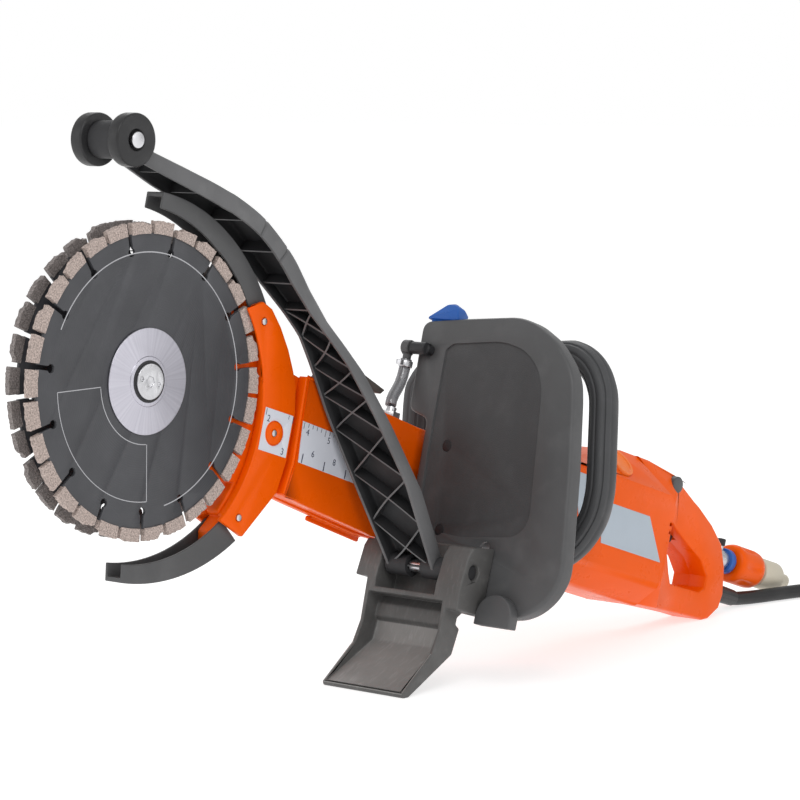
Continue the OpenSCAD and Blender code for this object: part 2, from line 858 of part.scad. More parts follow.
// outside of the beam between two depths, t narrows it by the wall thickness
module beam_skin(d, e, t) {
  intersection() {
    yext(-120, 60) polygon(concat(bk(d), rev(fr(e))));
    xext(-150, ax)
      polygon([[-88.4 + t, -90], [-87.4 + t, -70], [-81 + t, -26], [-69 + t, 20], [-57 + t, 52],
        [-46 + t, 69], [-36 + t, 83], [-28.5 + t, 103 + dr], [-26 + t, 121 + dr],
        [-23 + t, 137 + dr], [-21 + t, 190 + dr], [21 - t, 190 + dr], [20 - t, 137 + dr],
        [17 - t, 121 + dr], [8 - t, 103 + dr], [-6 - t, 83], [-14 - t, 69], [-15.6 - t, 52],
        [-17 - t, 20], [-24 - t, -26], [-32 - t, -70], [-34 - t, -90]]);
    linear_extrude(height = 900, center = true)
      polygon([[ax, -120], [34, -120], [34, -21 + t], [-10, -18.5 + t], [-51, -12.75 + t],
        [-66, -12.6 + t], [-66, 12.6 - t], [-51, 12.75 - t], [-10, 18.5 - t], [34, 21 - t],
        [34, 60], [ax, 60]]);
  }
}

module rib(i, f) {
  x = st[i][0] * (1 - f) + st[i + 1][0] * f;
  z = st[i][1] * (1 - f) + st[i + 1][1] * f;
  translate([x, 0, z])
    rotate([0, atan2(-st[i][3], st[i][2]), 0])
      box(-4, 13, -120, 60, -1, 1);
}

module roller_beam() {
  color(DARK) saw()
    difference() {
      union() {
        difference() {
          beam_skin(0, 0, 0);
          beam_skin(2.5, 6, wall_t);
        }
        intersection() {
          beam_skin(0.8, -3, 0.8);
          union() {
            rib(0, 0.5);
            rib(1, 0.3);
            rib(1, 0.8);
            rib(2, 0.6);
            rib(4, 0.3);
            rib(6, 0.5);
            rib(8, 0.2);
          }
        }
        ycyl(9, -88.2, -66, pvx, pvz);
        ycyl(9, -52, -31.4, pvx, pvz);
        ycyl(13.5, -12.9, 12.9, rlx, rlz);
        box(rlx + 4, -57, -11, 11, rlz - 8, rlz + 2);
      }
      ycyl(4.05, -120, 0, pvx, pvz);
      ycyl(5.05, -20, 20, rlx, rlz);
    }
}

module beam_spring() {
  color(STEEL) saw() ring(5, 4.2, -65.4, -52.6, pvx, pvz);
}

module roller_axle() {
  color(STEEL) saw()
    union() {
      ycyl(5, -25.6, 25.6, rlx, rlz);
      ycyl(5.8, 23.4, 25.6, rlx, rlz);
      ycyl(5.8, -25.6, -23.4, rlx, rlz);
    }
}

module roller() {
  difference() {
    ycyl(roller_d / 2, 13, 13 + roller_w, rlx, rlz);
    ycyl(5.05, 12, 26, rlx, rlz);
    ycyl(7.2, 11 + roller_w, 26, rlx, rlz);
  }
}

module roller_left() {
  color(BLACK) saw() mirror([0, 1, 0]) roller();
}

module roller_right() {
  color(BLACK) saw() roller();
}

// ---------------------------------------------------------------- cable and water inlet
module strain_relief() {
  color(BLACK) saw()
    difference() {
      union() {
        xcyl(8, hx + 291, hx + 316, body_y, -24);
        xcone(8, cable_d / 2 + 1, hx + 316, hx + 352, body_y, -24);
      }
      xcyl(cable_d / 2 + 0.02, hx + 290, hx + 353, body_y, -24);
    }
}

function wz(x, z) = axle_h - x * sin(arm_pitch) + z * cos(arm_pitch);
function wx(x, z) = ox + x * cos(arm_pitch) + z * sin(arm_pitch);

// free cord from the strain relief to the plug, lying on the floor
module power_cable() {
  r = cable_d / 2;
  f = r + 0.3;
  y = body_y + oy;
  x = wx(hx + 354, -24);
  p = [[wx(hx + 292, -24), y, wz(hx + 292, -24)], [wx(hx + 320, -24), y, wz(hx + 320, -24)],
    [x, y, wz(hx + 354, -24)], [x + 14, y - 1.5, f + 0.5], [x + 32, y - 5, f],
    [x + 54, y - 10, f], [x + 78, y - 16, f], [x + 102, y - 24, f], [x + 125, y - 34, f],
    [x + 146, y - 47, f], [x + 163, y - 64, f], [x + 174, y - 85, f], [x + 177, y - 108, f],
    [x + 171, y - 130, f], [x + 157, y - 148, f], [x + 138, y - 160, f + 1], [x + 116, y - 166, f + 4],
    [x + 94, y - 168, f + 9], [x + 76, y - 169, 18.5]];
  color(DARK) tube(p, r, 12, [0, 0, 1]);
}

module plug() {
  color(BLACK)
    translate([wx(hx + 354, -24) + 79, body_y + oy - 169, 18.5])
      rotate([0, -90, 0])
        difference() {
          union() {
            cylinder(r1 = 8.5, r2 = 11, h = 22);
            translate([0, 0, 22]) cylinder(r1 = 12, r2 = 18, h = 14);
            translate([0, 0, 36]) cylinder(r = 18.2, h = 16);
          }
          translate([0, 0, -1]) cylinder(r = cable_d / 2 + 0.6, h = 8);
          translate([0, -9.5, 44]) cylinder(r = 2.03, h = 9);
          translate([0, 9.5, 44]) cylinder(r = 2.03, h = 9);
        }
}

module plug_pins() {
  color(STEEL)
    translate([wx(hx + 354, -24) + 79, body_y + oy - 169, 18.5])
      rotate([0, -90, 0]) {
        for (y = [-9.5, 9.5])
          translate([0, y, 44.05]) {
            cylinder(r = 2, h = 8.5);
            translate([0, 0, 8.25]) cylinder(r = 2.35, h = 17.75);
          }
      }
}

module inlet_filter() {
  color(BLUE) saw()
    difference() {
      xcyl(7, hx + 292, hx + 322, iy, 6);
      xcyl(3, hx + 291, hx + 323, iy, 6);
    }
}

module inlet_body() {
  color(STEEL) saw()
    union() {
      difference() {
        xcyl(8.5, hx + 322.1, hx + 338, iy, 6);
        xcyl(3, hx + 321, hx + 339, iy, 6);
      }
      translate([hx + 332, iy, 14]) cylinder(r = 3, h = 4);
    }
}

module inlet_cap() {
  color(BLACK) saw()
    translate([hx + 332, iy, 18.1]) cylinder(r = 4, h = 6);
}

module inlet_nipple() {
  color(BLUE) saw()
    difference() {
      union() {
        xcyl(11, hx + 338.1, hx + 345, iy, 6);
        xcyl(7, hx + 344, hx + 362, iy, 6);
      }
      xcyl(3, hx + 337, hx + 363, iy, 6);
    }
}

module coupling_sleeve() {
  color(ORANGE) saw()
    difference() {
      xcyl(17, hx + 348, hx + 385, iy, 6);
      xcyl(7.05, hx + 347, hx + 358.5, iy, 6);
      xcyl(11.05, hx + 358, hx + 386, iy, 6);
    }
}

module hose_barrel() {
  color(CREAM) saw()
    difference() {
      union() {
        xcyl(11, hx + 364, hx + 392, iy, 6);
        xcyl(13.5, hx + 391, hx + 420, iy, 6);
        xcyl(6.5, hx + 420, hx + 440, iy, 6);
      }
      xcyl(4, hx + 363, hx + 441, iy, 6);
    }
}

arm_core();
arm_cover_left();
arm_cover_right();
front_cover_left();
front_cover_right();
cover_screws();
depth_scale();
blade_guard();
beam_stop();
spindle_bearings();
drive_belt();
drive_pulley();
output_shaft();
crown_gear();
spindle();
blade_left();
blade_right();
blade_flanges();
blade_screws();
gear_case();
motor_housing();
rotor();
stator();
case_bearings();
brushes();
brush_caps();
rear_handle_left();
rear_handle_right();
side_labels();
trigger();
lock_button();
switch_unit();
front_handle();
handle_brackets();
splash_guard();
guard_screws();
guard_cap();
tap_valve();
tap_lever();
water_elbow();
hose_clamp();
arm_hose();
arm_fitting();
scoop();
pivot_pin();
roller_beam();
beam_spring();
roller_axle();
roller_left();
roller_right();
strain_relief();
power_cable();
plug();
plug_pins();
inlet_filter();
inlet_body();
inlet_cap();
inlet_nipple();
coupling_sleeve();
hose_barrel();
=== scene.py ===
import bmesh
import bpy
import json
import math
import random
from mathutils import Matrix, Vector


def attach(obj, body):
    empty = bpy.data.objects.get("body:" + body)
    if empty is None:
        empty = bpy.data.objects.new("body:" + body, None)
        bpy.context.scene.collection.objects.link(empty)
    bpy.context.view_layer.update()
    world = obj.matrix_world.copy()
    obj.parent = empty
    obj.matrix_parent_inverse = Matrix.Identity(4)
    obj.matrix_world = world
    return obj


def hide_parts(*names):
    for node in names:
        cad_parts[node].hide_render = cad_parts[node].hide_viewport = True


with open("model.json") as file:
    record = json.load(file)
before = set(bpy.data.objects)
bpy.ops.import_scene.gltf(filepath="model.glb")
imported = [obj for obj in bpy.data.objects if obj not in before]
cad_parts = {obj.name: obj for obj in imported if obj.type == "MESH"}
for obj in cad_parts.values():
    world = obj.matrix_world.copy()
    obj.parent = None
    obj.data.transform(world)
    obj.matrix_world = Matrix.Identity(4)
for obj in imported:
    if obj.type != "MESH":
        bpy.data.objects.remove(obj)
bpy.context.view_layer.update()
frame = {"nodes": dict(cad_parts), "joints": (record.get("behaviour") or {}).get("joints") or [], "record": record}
random.seed(7)

NODES = frame["nodes"]
RECORD = frame["record"]
BODY_OF = {node: body for body, nodes in RECORD["behaviour"]["bodies"].items() for node in nodes}
SLOT_OF = {part["node"]: part["material_slot"] for part in RECORD["subparts"]}
JOINTS = {joint["name"]: joint for joint in frame["joints"]}

# The saw leans back on its scoop. Pieces are modelled in millimetres on the saw's own axes:
# x back along the arm from the blade axis, y across (left is negative), z square to the arm.
AXLE = Vector(JOINTS["spindle_spin"]["pos_m"])
BACK = Vector(JOINTS["rotor_spin"]["axis"])
PITCH = math.atan2(-BACK.z, BACK.x)
SAW = Matrix.Translation(AXLE) @ Matrix.Rotation(PITCH, 4, "Y") @ Matrix.Scale(0.001, 4)
TO_SAW = SAW.inverted()

BLADE_R = 115.0
SEGMENT_HALF = 2.1
CORE_R = 105.5
CORE_IN = 8.1
CORE_OUT = 10.5
SLOTS = 15
ARM_SIDE = 14.0
PLATE_X = 298.0
REAR_X = 350.0
BODY_Y = -60.0
HOSE_Y = -52.0


# ---------------------------------------------------------------- camera
def add_camera():
    camera = bpy.data.objects.new("camera", bpy.data.cameras.new("camera"))
    bpy.context.scene.collection.objects.link(camera)
    camera.location = (-1.810165, -1.465625, 0.448785)
    camera.rotation_euler = (math.radians(84.128), 0, math.radians(-49.263))
    camera.data.lens = 135
    camera.data.sensor_width = 36
    camera.data.clip_end = 100
    bpy.context.scene.camera = camera


add_camera()


# ---------------------------------------------------------------- finishes
class Finish:
    """A material built up from patterns on Object coordinates, in metres."""

    def __init__(self, name, rough, metal=0.0, **sockets):
        self.material = bpy.data.materials.new(name)
        self.material.use_nodes = True
        self.tree = self.material.node_tree
        self.shader = self.tree.nodes["Principled BSDF"]
        self.shader.inputs["Metallic"].default_value = metal
        self.shader.inputs["Roughness"].default_value = rough
        for socket, value in sockets.items():
            self.shader.inputs[socket.replace("_", " ")].default_value = value
        self.place = self.add("ShaderNodeTexCoord").outputs["Object"]
        self.last_bump = None

    def add(self, kind, **settings):
        node = self.tree.nodes.new(kind)
        for key, value in settings.items():
            setattr(node, key, value)
        return node

    def link(self, start, end):
        self.tree.links.new(start, end)

    def mapped(self, centre=(0, 0, 0), turn=(0, 0, 0), stretch=(1, 1, 1)):
        shift = self.add("ShaderNodeMapping")
        shift.inputs["Location"].default_value = [-v for v in centre]
        spin = self.add("ShaderNodeMapping")
        spin.inputs["Rotation"].default_value = turn
        spin.inputs["Scale"].default_value = stretch
        self.link(self.place, shift.inputs["Vector"])
        self.link(shift.outputs["Vector"], spin.inputs["Vector"])
        return spin.outputs["Vector"]

    def noise(self, scale, detail=4.0, where=None):
        node = self.add("ShaderNodeTexNoise")
        node.inputs["Scale"].default_value = scale
        node.inputs["Detail"].default_value = detail
        self.link(where or self.place, node.inputs["Vector"])
        return node.outputs["Fac"]

    def speckle(self, scale):
        node = self.add("ShaderNodeTexVoronoi")
        node.inputs["Scale"].default_value = scale
        self.link(self.place, node.inputs["Vector"])
        return node.outputs["Distance"]

    def ramp(self, factor, stops):
        node = self.add("ShaderNodeValToRGB")
        spots = node.color_ramp.elements
        while len(spots) < len(stops):
            spots.new(0.5)
        for spot, (at, colour) in zip(spots, stops):
            spot.position = at
            spot.color = (*colour, 1)
        self.link(factor, node.inputs["Fac"])
        return node.outputs["Color"]

    def colour(self, factor, stops):
        self.link(self.ramp(factor, stops), self.shader.inputs["Base Color"])
        return self

    def layered(self, base, top, mask):
        mix = self.add("ShaderNodeMix", data_type="RGBA")
        self.link(mask, mix.inputs["Factor"])
        self.link(base, mix.inputs["A"])
        self.link(top, mix.inputs["B"])
        self.link(mix.outputs["Result"], self.shader.inputs["Base Color"])
        return self

    def roughness(self, factor, low, high):
        spread = self.add("ShaderNodeMapRange")
        spread.inputs["From Min"].default_value = 0.3
        spread.inputs["From Max"].default_value = 0.7
        spread.inputs["To Min"].default_value = low
        spread.inputs["To Max"].default_value = high
        self.link(factor, spread.inputs["Value"])
        self.link(spread.outputs["Result"], self.shader.inputs["Roughness"])
        return self

    def bump(self, height, depth, strength=1.0):
        node = self.add("ShaderNodeBump")
        node.inputs["Strength"].default_value = strength
        node.inputs["Distance"].default_value = depth
        self.link(height, node.inputs["Height"])
        if self.last_bump:
            self.link(self.last_bump, node.inputs["Normal"])
        self.last_bump = node.outputs["Normal"]
        self.link(self.last_bump, self.shader.inputs["Normal"])
        return self


def shade(colour, by):
    return tuple(min(1.0, c * by) for c in colour)


def moulded(name, colour, rough, grain=0.00012, mottle=0.14, dust=None, shine=0.35):
    """Moulded plastic: spark-eroded grain, a little cloudiness and some dry dust."""
    f = Finish(name, rough, Specular_IOR_Level=shine)
    cloud = f.noise(18.0, 5.0)
    base = f.ramp(cloud, [(0.3, shade(colour, 1 - mottle)), (0.7, shade(colour, 1 + mottle))])
    if dust:
        film = f.ramp(f.noise(46.0, 8.0), [(0.52, (0, 0, 0)), (0.78, (0.5, 0.5, 0.5))])
        tone = f.ramp(f.noise(90.0, 3.0), [(0.3, dust), (0.7, shade(dust, 1.2))])
        f.layered(base, tone, film)
    else:
        f.link(base, f.shader.inputs["Base Color"])
    f.roughness(f.noise(60.0, 6.0), rough - 0.07, rough + 0.09)
    f.bump(f.noise(1500.0, 3.0), grain)
    f.bump(f.noise(24.0, 3.0), 0.0006, 0.25)
    return f.material


def enamel(name, colour, rough):
    """Powder coat on a casting: fine orange peel under a soft gloss."""
    f = Finish(name, rough, Specular_IOR_Level=0.16)
    f.colour(f.noise(14.0, 4.0), [(0.3, shade(colour, 0.93)), (0.7, shade(colour, 1.05))])
    f.roughness(f.noise(40.0, 5.0), rough - 0.05, rough + 0.08)
    f.bump(f.noise(420.0, 2.0), 0.00018)
    f.bump(f.noise(60.0, 4.0), 0.0004, 0.3)
    return f.material


def machined(name, colour, rough, metal=1.0, grain=900.0):
    """Turned or pressed metal with fine tool marks and faint stains."""
    f = Finish(name, rough, metal)
    f.colour(f.noise(30.0, 6.0), [(0.3, shade(colour, 0.82)), (0.7, shade(colour, 1.1))])
    f.roughness(f.noise(220.0, 5.0), rough - 0.08, rough + 0.12)
    f.bump(f.noise(grain, 2.0, f.mapped(stretch=(1, 0.15, 1))), 0.00006)
    return f.material


def gcornerdisc(name, colour, rough, metal):
    """Blade steel, ground in fine rings round its own axis, with a dull film of dried slurry."""
    f = Finish(name, rough, metal)
    where = f.mapped(centre=AXLE)
    rings = f.add("ShaderNodeTexWave", wave_type="RINGS", rings_direction="Y")
    rings.inputs["Scale"].default_value = 190.0
    rings.inputs["Distortion"].default_value = 1.2
    rings.inputs["Detail"].default_value = 3.0
    f.link(where, rings.inputs["Vector"])
    base = f.ramp(f.noise(26.0, 6.0), [(0.3, shade(colour, 0.85)), (0.7, shade(colour, 1.12))])
    tone = f.ramp(f.noise(120.0, 3.0), [(0.3, shade(colour, 1.35)), (0.7, shade(colour, 1.6))])
    film = f.ramp(f.noise(34.0, 8.0), [(0.58, (0, 0, 0)), (0.9, (0.25, 0.25, 0.25))])
    f.layered(base, tone, film)
    f.roughness(f.noise(70.0, 5.0), rough - 0.06, rough + 0.1)
    f.bump(rings.outputs["Fac"], 0.00004)
    return f.material


def spun_flange(name):
    """Pressed steel washer with a radial sheen."""
    f = Finish(name, 0.3, 1.0)
    turn = f.mapped(centre=AXLE, turn=(math.radians(90), 0, 0))
    sweep = f.add("ShaderNodeTexGradient", gradient_type="RADIAL")
    f.link(turn, sweep.inputs["Vector"])
    rays = f.add("ShaderNodeTexNoise", noise_dimensions="1D")
    rays.inputs["Scale"].default_value = 90.0
    rays.inputs["Detail"].default_value = 5.0
    f.link(sweep.outputs["Fac"], rays.inputs["W"])
    f.colour(rays.outputs["Fac"], [(0.3, (0.5, 0.49, 0.55)), (0.7, (0.58, 0.57, 0.63))])
    f.roughness(rays.outputs["Fac"], 0.36, 0.42)
    f.bump(f.noise(500.0, 3.0), 0.00004)
    return f.material


def sintered(name, colour):
    """Diamond segments: a coarse metal bond with grit standing proud."""
    f = Finish(name, 0.7, 0.25)
    f.colour(f.noise(900.0, 4.0), [(0.35, shade(colour, 0.55)), (0.65, shade(colour, 1.25))])
    f.roughness(f.noise(700.0, 3.0), 0.55, 0.85)
    f.bump(f.speckle(1300.0), 0.0004)
    f.bump(f.noise(500.0, 6.0), 0.0005)
    return f.material


def scuffed(name, colour, worn):
    """Tough plastic that drags on the ground: fine grain, long pale scratches."""
    f = Finish(name, 0.55)
    base = f.ramp(f.noise(22.0, 5.0), [(0.3, shade(colour, 0.88)), (0.7, shade(colour, 1.12))])
    long_marks = f.noise(420.0, 6.0, f.mapped(turn=(0, 0.5, 0.3), stretch=(0.2, 1, 0.3)))
    mask = f.ramp(long_marks, [(0.52, (0, 0, 0)), (0.8, (0.4, 0.4, 0.4))])
    tone = f.ramp(f.noise(60.0, 4.0), [(0.3, worn), (0.7, shade(worn, 1.2))])
    f.layered(base, tone, mask)
    f.roughness(f.noise(80.0, 5.0), 0.45, 0.7)
    f.bump(long_marks, 0.00004)
    f.bump(f.noise(1300.0, 3.0), 0.0001)
    return f.material


def smoky_tube(name):
    """Clear hose with a smoky tint."""
    f = Finish(name, 0.12, Transmission_Weight=0.55, IOR=1.45, Coat_Weight=0.6, Coat_Roughness=0.05)
    f.colour(f.noise(70.0, 3.0), [(0.3, (0.22, 0.22, 0.23)), (0.7, (0.32, 0.32, 0.34))])
    f.roughness(f.noise(90.0, 3.0), 0.08, 0.2)
    f.bump(f.noise(60.0, 2.0), 0.0002, 0.4)
    return f.material


ORANGE = (0.82, 0.1, 0.0)
FINISHES = {
    "orange_cast": enamel("orange_enamel", ORANGE, 0.36),
    "orange_plastic": moulded("orange_shell", ORANGE, 0.3, 0.00005, 0.05, shine=0.14),
    "dark_plastic": moulded("dark_shell", (0.078, 0.078, 0.08), 0.42, mottle=0.07, dust=(0.1, 0.1, 0.102)),
    "black_plastic": moulded("black_shell", (0.022, 0.022, 0.024), 0.45),
    "black_rubber": moulded("cable_rubber", (0.02, 0.02, 0.021), 0.38, dust=(0.035, 0.035, 0.036)),
    "blade_steel": gcornerdisc("blade_steel", (0.052, 0.053, 0.059), 0.4, 0.1),
    "bright_steel": machined("bright_steel", (0.66, 0.66, 0.68), 0.3),
    "cast_aluminium": machined("cast_aluminium", (0.5, 0.5, 0.51), 0.5, 0.8, grain=400.0),
    "white_label": moulded("label_film", (0.62, 0.64, 0.7), 0.4, 0.00003, 0.05),
    "blue_plastic": moulded("blue_shell", (0.02, 0.11, 0.42), 0.35),
    "cream_plastic": moulded("cream_shell", (0.6, 0.55, 0.44), 0.45, mottle=0.06),
    "smoke_hose": smoky_tube("smoky_tube"),
}
GREY_BEAM = moulded("beam_shell", (0.115, 0.115, 0.118), 0.5, dust=(0.16, 0.16, 0.162))
# Darker grey: used on the beam's bosses and mounts, and as painted shade inside the channel and on its webs.
BEAM_DARK_AND_PAINTED_SHADE = moulded("beam_dark_and_painted_shade", (0.028, 0.028, 0.03), 0.6, dust=(0.045, 0.045, 0.046))
HANDLE_GREY = moulded("handle_grip", (0.06, 0.061, 0.064), 0.46, dust=(0.09, 0.09, 0.092))
PANEL_GREY = moulded("sunken_panel", (0.058, 0.058, 0.06), 0.58, 0.0002, 0.1, dust=(0.075, 0.075, 0.077))
SCOOP_GREY = scuffed("scoop_shell", (0.085, 0.083, 0.081), (0.15, 0.147, 0.143))
PALE_ORANGE = moulded("pale_orange", (0.87, 0.19, 0.025), 0.4, 0.00005, 0.05)
LABEL_BLUE = moulded("side_label_film", (0.4, 0.46, 0.52), 0.42, 0.00003, 0.06)
INK = moulded("scale_ink", (0.03, 0.035, 0.07), 0.5, 0.00002)
PRINT_GREY = moulded("blade_print", (0.42, 0.42, 0.44), 0.5, 0.00002)
SEGMENT_NEAR = sintered("segment_bond", (0.5, 0.41, 0.37))
# The far blade's segments take a darker copy of the same bond: painted shade on the blade behind.
SEGMENT_FAR_PAINTED_SHADE = sintered("segment_bond_painted_shade", (0.26, 0.23, 0.22))
# A paler copy of the scoop's finish: painted light on the floor that faces up to the lamps; its scratches are real
# wear.
SCOOP_FLOOR_PAINTED_LIGHT = scuffed("scoop_floor_painted_light", (0.2, 0.196, 0.19), (0.32, 0.315, 0.31))
FLANGE = spun_flange("flange_sheen")
STOP_BROWN = moulded("stop_shell", (0.085, 0.075, 0.068), 0.55, dust=(0.13, 0.12, 0.11))


# ---------------------------------------------------------------- modelling
def deselect():
    active = bpy.context.view_layer.objects.active
    if active and active.mode != "OBJECT":
        bpy.ops.object.mode_set(mode="OBJECT")
    bpy.ops.object.select_all(action="DESELECT")


def take(*pieces):
    deselect()
    for piece in pieces:
        piece.select_set(True)
    bpy.context.view_layer.objects.active = pieces[0]
    return pieces[0]


def named(name):
    piece = bpy.context.object
    piece.name = name
    piece.data.name = name
    return piece


def edit(piece, *steps):
    take(piece)
    bpy.ops.object.mode_set(mode="EDIT")
    bpy.ops.mesh.select_all(action="SELECT")
    for step in steps:
        step()
    bpy.ops.object.mode_set(mode="OBJECT")
    return piece


def outwards():
    bpy.ops.mesh.select_all(action="SELECT")
    bpy.ops.mesh.normals_make_consistent(inside=False)


def worked(piece, kind, **settings):
    take(piece)
    tool = piece.modifiers.new(kind.title(), kind)
    for key, value in settings.items():
        setattr(tool, key, value)
    bpy.ops.object.modifier_apply(modifier=tool.name)
    return piece


def eased(piece, width, segments=3, angle=32):
    return worked(piece, "BEVEL", width=width, segments=segments, limit_method="ANGLE",
                  angle_limit=math.radians(angle), use_clamp_overlap=False)


def cut(piece, tool, operation="DIFFERENCE"):
    worked(piece, "BOOLEAN", operation=operation, object=tool, solver="EXACT")
    bpy.data.objects.remove(tool)
    return piece


def joined(name, pieces):
    take(*pieces)
    bpy.ops.object.join()
    return named(name)


def slab(name, outline, low, high, along="Y"):
    """A plate with that outline, from low to high along the saw's X or Y axis."""
    step = [high - low if axis == along else 0 for axis in "XYZ"]
    deselect()
    bpy.ops.mesh.primitive_circle_add(vertices=len(outline), radius=1, fill_type="NGON")
    piece = named(name)
    for vertex, (u, v) in zip(piece.data.vertices, outline):
        vertex.co = (low, u, v) if along == "X" else (u, low, v)
    return edit(piece, lambda: bpy.ops.mesh.extrude_region_move(TRANSFORM_OT_translate={"value": step}),
                outwards)


def rod(name, radius, start, end, points=48):
    start, end = Vector(start), Vector(end)
    turn = (end - start).to_track_quat("Z", "Y").to_euler()
    deselect()
    bpy.ops.mesh.primitive_cone_add(vertices=points, radius1=radius, radius2=radius,
                                    depth=(end - start).length, location=(start + end) / 2, rotation=turn)
    piece = named(name)
    bpy.ops.object.transform_apply(location=True, rotation=True, scale=True)
    return piece


def block(name, low, high):
    x0, y0, z0 = low
    x1, y1, z1 = high
    return slab(name, [(x0, z0), (x1, z0), (x1, z1), (x0, z1)], y0, y1)


def lofted(name, rings, closed=True, cap=True):
    """Skins a row of closed rings that have the same number of points."""
    count = len(rings[0])
    points = [tuple(p) for ring in rings for p in ring]
    faces = []
    for i in range(len(rings) - 1):
        for j in range(count if closed else count - 1):
            k = (j + 1) % count
            faces.append((i * count + j, i * count + k, (i + 1) * count + k, (i + 1) * count + j))
    if cap and closed:
        faces.append(tuple(range(count)))
        faces.append(tuple(reversed(range((len(rings) - 1) * count, len(rings) * count))))
    mesh = bpy.data.meshes.new(name)
    mesh.from_pydata(points, [], faces)
    piece = bpy.data.objects.new(name, mesh)
    bpy.context.scene.collection.objects.link(piece)
    return edit(piece, outwards)


def arc(radius, start, end, steps):
    angles = [math.radians(start + (end - start) * i / steps) for i in range(steps + 1)]
    return [(radius * math.cos(a), radius * math.sin(a)) for a in angles]


STRAIGHT = math.radians(172)


def rounded(points, radius, steps=5):
    """The outline with each corner eased by a short curve; radius is one value or one for each corner."""
    out = []
    count = len(points)
    for i, point in enumerate(points):
        here = Vector(point)
        before, after = Vector(points[i - 1]) - here, Vector(points[(i + 1) % count]) - here
        turn = before.angle(after)
        if turn > STRAIGHT:
            out.append(tuple(here))
            continue
        r = radius[i] if isinstance(radius, (list, tuple)) else radius
        reach = min(r / math.tan(turn / 2), 0.48 * before.length, 0.48 * after.length)
        start, end = here + before.normalized() * reach, here + after.normalized() * reach
        for k in range(steps + 1):
            t = k / steps
            out.append(tuple((1 - t) ** 2 * start + 2 * t * (1 - t) * here + t * t * end))
    return out


def smooth_route(points, steps):
    """A curve through all the points."""
    ends = [points[0]] + list(points) + [points[-1]]
    route = []
    for i in range(1, len(ends) - 2):
        a, b, c, d = (Vector(ends[i + k]) for k in (-1, 0, 1, 2))
        for k in range(steps):
            t = k / steps
            route.append(0.5 * (2 * b + (c - a) * t + (2 * a - 5 * b + 4 * c - d) * t ** 2
                                + (3 * b - a - 3 * c + d) * t ** 3))
    route.append(Vector(points[-1]))
    return route


def swept(name, route, section, side):
    """A closed section carried along a route, with one side always facing the same way."""
    side = Vector(side)
    rings = []
    for i, point in enumerate(route):
        ahead = (route[min(i + 1, len(route) - 1)] - route[max(i - 1, 0)]).normalized()
        across = side.cross(ahead).normalized()
        out = ahead.cross(across)
        rings.append([point + across * a + out * b for a, b in section])
    return lofted(name, rings)


# ---------------------------------------------------------------- fitting to the frame
def fitted(piece, material, body, nodes=(), smooth=32):
    """Takes a piece from the saw's own axes in millimetres to its place on the standing saw."""
    take(piece)
    piece.matrix_world = SAW
    bpy.ops.object.transform_apply(location=True, rotation=True, scale=True)
    bpy.ops.object.shade_smooth_by_angle(angle=math.radians(smooth))
    if material:
        piece.data.materials.clear()
        piece.data.materials.append(material)
    if nodes:
        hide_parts(*nodes)
    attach(piece, body)
    return piece


WELD = 0.004
FLAT = math.radians(0.6)
SHARP = math.radians(32)


def softened(node, width, material=None, segments=3, weight=None):
    """The frame's own solid with its edges rounded; weight gives each edge its share of the width."""
    mesh = NODES[node].data.copy()
    piece = bpy.data.objects.new(node + "_finished", mesh)
    bpy.context.scene.collection.objects.link(piece)
    mesh.transform(TO_SAW)
    edit(piece, lambda: bpy.ops.mesh.remove_doubles(threshold=WELD),
         lambda: bpy.ops.mesh.dissolve_limited(angle_limit=FLAT))
    work = bmesh.new()
    work.from_mesh(mesh)
    layers = work.edges.layers.float
    share = layers.get("bevel_weight_edge") or layers.new("bevel_weight_edge")
    for edge in work.edges:
        if len(edge.link_faces) == 2 and edge.calc_face_angle() > SHARP:
            middle = (edge.verts[0].co + edge.verts[1].co) / 2
            edge[share] = weight(middle) if weight else 1.0
    work.to_mesh(mesh)
    work.free()
    worked(piece, "BEVEL", width=width, segments=segments, limit_method="WEIGHT", use_clamp_overlap=False)
    return fitted(piece, material or FINISHES[SLOT_OF[node]], BODY_OF[node], [node])


# ---------------------------------------------------------------- cable
CABLE_D = 0.012
CABLE_OUT = (0.342891, 0.00475)
CABLE_REST = 0.0063


def cable_route():
    """Straight out of the strain relief, down to the floor and round in one loose bend."""
    x, y = CABLE_OUT
    f = CABLE_REST
    steps = [(0.014, -0.0015, f + 0.0005), (0.032, -0.005, f), (0.054, -0.01, f), (0.078, -0.016, f),
             (0.102, -0.024, f), (0.125, -0.034, f), (0.146, -0.047, f), (0.163, -0.064, f),
             (0.174, -0.085, f), (0.177, -0.108, f), (0.171, -0.13, f), (0.157, -0.148, f),
             (0.138, -0.16, f + 0.001), (0.116, -0.166, f + 0.004), (0.094, -0.168, f + 0.009),
             (0.076, -0.169, 0.0185)]
    start = [(0.283794, y, 0.026956), (0.310483, y, 0.01849), (x, y, 0.008203)]
    return start + [(x + dx, y + dy, z) for dx, dy, z in steps]


def power_cable():
    curve = bpy.data.curves.new("power_cable_curve", "CURVE")
    curve.dimensions = "3D"
    curve.bevel_depth = CABLE_D / 2
    curve.bevel_resolution = 6
    curve.resolution_u = 8
    curve.use_fill_caps = True
    spline = curve.splines.new("BEZIER")
    route = cable_route()
    spline.bezier_points.add(len(route) - 1)
    for knot, place in zip(spline.bezier_points, route):
        knot.co = place
        knot.handle_left_type = knot.handle_right_type = "AUTO"
    piece = bpy.data.objects.new("power_cable_jacket", curve)
    bpy.context.scene.collection.objects.link(piece)
    curve.materials.append(FINISHES["black_rubber"])
    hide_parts("power_cable")
    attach(piece, "saw")
    return piece


cable = power_cable()
for part in ("plug", "plug_pins"):
    NODES[part].data.materials.clear()
    NODES[part].data.materials.append(FINISHES[SLOT_OF[part]])


